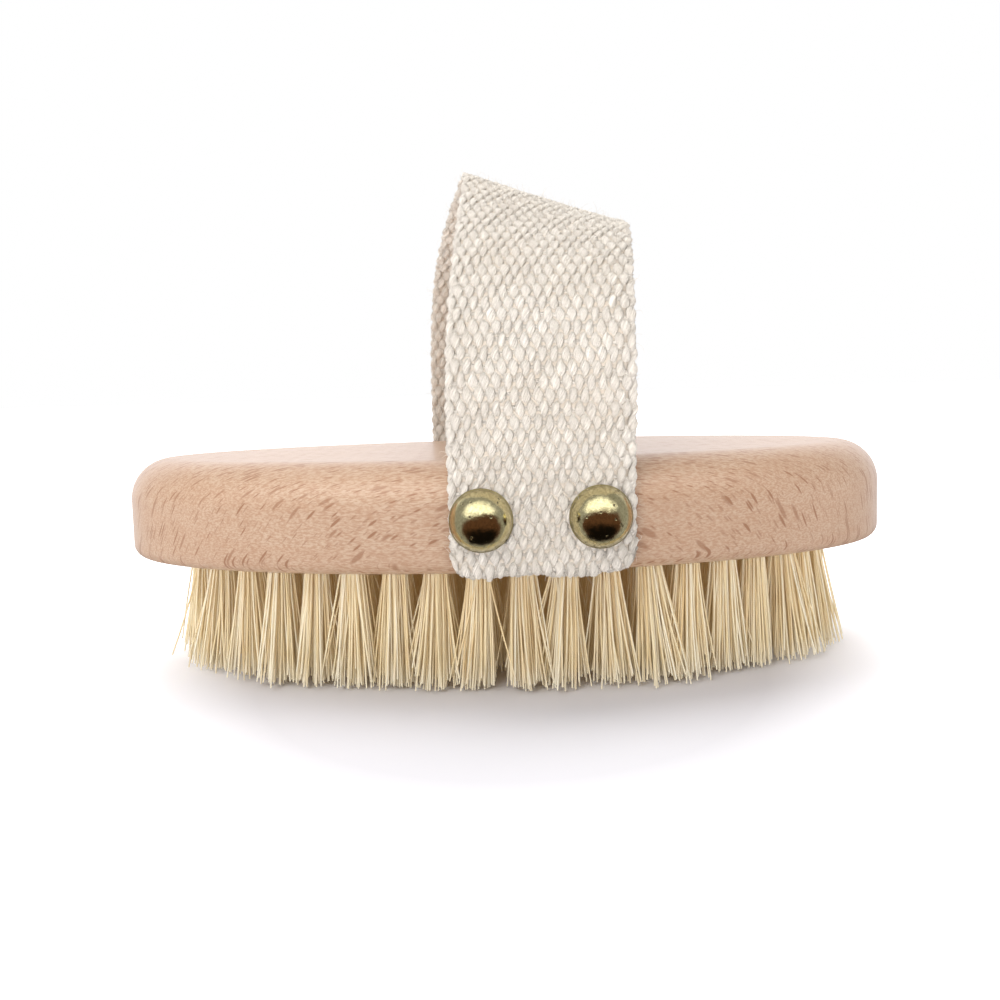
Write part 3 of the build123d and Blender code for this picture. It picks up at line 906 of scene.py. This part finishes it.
def make_tack(node, seed):
    """A pressed dome with a thin rolled rim and a few soft dents."""
    low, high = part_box(node)
    middle = (low + high) / 2
    shank_low, shank_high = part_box(node.replace("_cap", "_shank"))
    shank = (shank_low + shank_high) / 2
    normal = Vector((middle.x - shank.x, middle.y - shank.y, 0)).normalized()
    radius, height = (high.z - low.z) / 2, DOME_HEIGHT
    # rim centre: step back from the dome's highest point
    top = max((Vector(v.co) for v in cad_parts[node].data.vertices), key=lambda v: v.dot(normal))
    seat = top.dot(normal) - height
    centre = normal * seat + (middle - normal * middle.dot(normal))
    across = Vector((0, 0, 1)).cross(normal).normalized()
    up = Vector((0, 0, 1))
    big = (radius ** 2 + height ** 2) / (2 * height)
    sweep = math.asin(radius / big) if height <= radius else math.pi - math.asin(radius / big)
    turns = [sweep * i / DOME_RINGS for i in range(DOME_RINGS + 1)]
    profile = [(big * math.sin(a), height - big + big * math.cos(a)) for a in turns]
    roll = 0.28 * MM
    profile += [(radius + roll * math.sin(a) * 0.6, -roll * 0.2 - roll * (1 - math.cos(a)) * 0.6)
                for a in (0.5, 1.2, 2.0, 2.8)]
    profile += [(radius - 0.7 * MM, -0.25 * MM), (radius - 0.9 * MM, 0.35 * MM)]
    rng = np.random.default_rng(seed)
    dents = [(rng.uniform(0, 2 * math.pi), rng.uniform(0.1, 0.75) * radius, rng.uniform(0.6, 1.6) * MM,
              rng.uniform(-1, 1) * 0.045 * MM) for _ in range(9)]
    segments = DOME_SEGMENTS
    verts, rims = [centre + normal * height], [0.0]
    for i, (r, h) in enumerate(profile[1:], 1):
        for k in range(segments):
            a = 2 * math.pi * k / segments
            u, v = r * math.cos(a), r * math.sin(a)
            push = sum(d * math.exp(-((u - q * math.cos(t)) ** 2 + (v - q * math.sin(t)) ** 2) / (w * w))
                       for t, q, w, d in dents)
            verts.append(centre + across * u + up * v + normal * (h + push))
            rims.append(max(0.0, min(1.0, (i - DOME_RINGS + 5) / 5)))
    faces = [(0, 1 + k, 1 + (k + 1) % segments) for k in range(segments)]
    for i in range(len(profile) - 2):
        for k in range(segments):
            a, b = 1 + i * segments + k, 1 + i * segments + (k + 1) % segments
            faces.append((a, a + segments, b + segments, b))
    first = 1 + (len(profile) - 2) * segments
    faces.append(tuple(range(first, first + segments)))
    piece = mesh_piece(node.replace("_cap", "_dome"), verts, faces, BRASS)
    outward(piece.data)
    mark = piece.data.attributes.new("rim", "FLOAT", "POINT")
    mark.data.foreach_set("value", rims)
    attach(piece, "brush")
    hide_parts(node)


# ---- build ----
def paint(node, material):
    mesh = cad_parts[node].data
    mesh.materials.clear()
    mesh.materials.append(material)


paint("handle_block", BEECH)
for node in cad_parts:
    if node.startswith("anchors_") or node.endswith("_shank"):
        paint(node, STEEL)
make_bristles()
make_strap()
for number, node in enumerate(sorted(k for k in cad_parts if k.endswith("_cap"))):
    make_tack(node, 40 + number)


# ---- floor, light and camera ----
def make_floor():
    material, n, shader = new_material("pale_floor")
    place = n.object_place()
    base = drift(n, place, (0.775, 0.765, 0.790, 1), (0.755, 0.745, 0.772, 1), 4.0, 0.5)
    n.put(shader, "Base_Color", base)
    shader.inputs["Roughness"].default_value = 0.9
    shader.inputs["Specular IOR Level"].default_value = 0.1
    # a lit sweep: away from the brush the paper is evenly white
    away = n.vector("LENGTH", n.vector("MULTIPLY", n.vector("ADD", place, (0, 0.012, 0)), (1.42, 1.0, 1.0)))
    away = n.times(n.minus(away, 0.063), 12.0, clamp=True)
    n.put(shader, "Emission_Color", (1.0, 1.0, 1.0, 1))
    n.put(shader, "Emission_Strength", away)
    size, z = 4.0, -0.3 * MM
    floor = mesh_piece("floor", [(-size, -size, z), (size, -size, z), (size, size, z), (-size, size, z)],
                       [(0, 1, 2, 3)], material, smooth=False)
    floor.visible_glossy = False


def make_world():
    """A white room with a broad light above and a dark corner low in front, which the brass shows."""
    world = bpy.data.worlds.new("studio")
    bpy.context.scene.world = world
    world.use_nodes = True
    tree = world.node_tree
    tree.nodes.clear()
    n = Nodes(tree)
    way = n.add("ShaderNodeTexCoord").outputs["Generated"]
    rough = n.add("ShaderNodeTexNoise", Vector=way, Scale=3.2, Detail=3.0, Roughness=0.55)
    parts = n.split(way)
    wide = n.vector("NORMALIZE", n.vector("MULTIPLY", way, (0.74, 1.0, 1.0)))
    low = n.vector("DOT_PRODUCT", wide, Vector((0.03, -0.80, -0.60)).normalized()[:])
    ragged = n.scaled(n.minus(rough.outputs["Fac"], 0.5), 0.55, low)
    dark = n.times(n.minus(ragged, 0.32), 4.5, clamp=True)
    under = n.vector("DOT_PRODUCT", wide, Vector((0.02, -0.42, -0.91)).normalized()[:])
    under = n.scaled(n.minus(rough.outputs["Fac"], 0.5), 0.6, under)
    deep = n.times(n.minus(under, 0.64), 4.0, clamp=True)
    shade = n.blend(deep, (0.130, 0.060, 0.034, 1), (0.008, 0.006, 0.005, 1))
    broad = n.vector("NORMALIZE", n.vector("MULTIPLY", way, (0.36, 1.0, 1.0)))
    window = n.vector("DOT_PRODUCT", broad, Vector((-0.08, -0.66, 0.75)).normalized()[:])
    torn = n.noise(way, 8.0, 3.0, 0.6)
    window = n.scaled(n.minus(torn, 0.5), 0.45, window)
    window = n.times(n.minus(window, 0.82), 6.0, clamp=True)
    behind = n.times(n.minus(parts[1], 0.35), 2.6, clamp=True)
    level = n.scaled(n.scaled(n.minus(torn, 0.5), 0.5, parts[2]), 2.2, 1.0, clamp=True)
    wall = n.blend(level, (0.16, 0.12, 0.09, 1), (1.25, 1.22, 1.24, 1))
    sky = n.blend(window, (0.42, 0.42, 0.43, 1), (2.3, 2.3, 2.28, 1))
    sky = n.blend(behind, sky, wall)
    room = n.blend(dark, sky, shade)
    seen = n.add("ShaderNodeLightPath")
    colour = n.blend(seen.outputs["Is Glossy Ray"], (0.55, 0.55, 0.56, 1), room)
    colour = n.blend(seen.outputs["Is Camera Ray"], colour, (1.0, 1.0, 1.0, 1))
    back = n.add("ShaderNodeBackground", Color=colour, Strength=1.0)
    out = n.add("ShaderNodeOutputWorld")
    tree.links.new(back.outputs[0], out.inputs[0])


def soft_light(name, place, aim, size, power):
    data = bpy.data.lights.new(name, "AREA")
    data.shape = "RECTANGLE"
    data.size, data.size_y = size
    data.energy = power
    light = bpy.data.objects.new(name, data)
    bpy.context.scene.collection.objects.link(light)
    light.location = place
    light.visible_glossy = False
    light.rotation_euler = (Vector(aim) - Vector(place)).to_track_quat("-Z", "Y").to_euler()


def make_camera():
    """Low in front of the brush, a touch rolled, as close as a hand held camera."""
    data = bpy.data.cameras.new("camera")
    data.sensor_width = 36.0
    data.lens = 40.70
    data.clip_start = 0.01
    camera = bpy.data.objects.new("camera", data)
    bpy.context.scene.collection.objects.link(camera)
    yaw, pitch, roll = -0.0038, 0.1046, 0.0285
    cy, sy, cp, sp = math.cos(yaw), math.sin(yaw), math.cos(pitch), math.sin(pitch)
    right = Vector((cy, sy, 0))
    ahead = Vector((-sy * cp, cy * cp, -sp))
    up = Vector((-sy * sp, cy * sp, cp))
    r = right * math.cos(roll) - up * math.sin(roll)
    u = right * math.sin(roll) + up * math.cos(roll)
    turn = Matrix((r, u, -ahead)).transposed()
    camera.matrix_world = Matrix.Translation((-1.76 * MM, -214.56 * MM, 50.48 * MM)) @ turn.to_4x4()
    bpy.context.scene.camera = camera


make_floor()
make_world()
soft_light("overhead", (-0.05, 0.20, 0.62), (0.0, 0.0, 0.02), (0.95, 0.34), 3.7)
soft_light("front", (-0.14, -0.66, 0.10), (0.0, 0.0, 0.02), (0.60, 0.24), 1.0)
soft_light("key", (-0.22, -0.42, 0.46), (0.0, 0.0, 0.03), (0.26, 0.26), 1.1)
make_camera()
bpy.context.scene.view_settings.view_transform = "Standard"
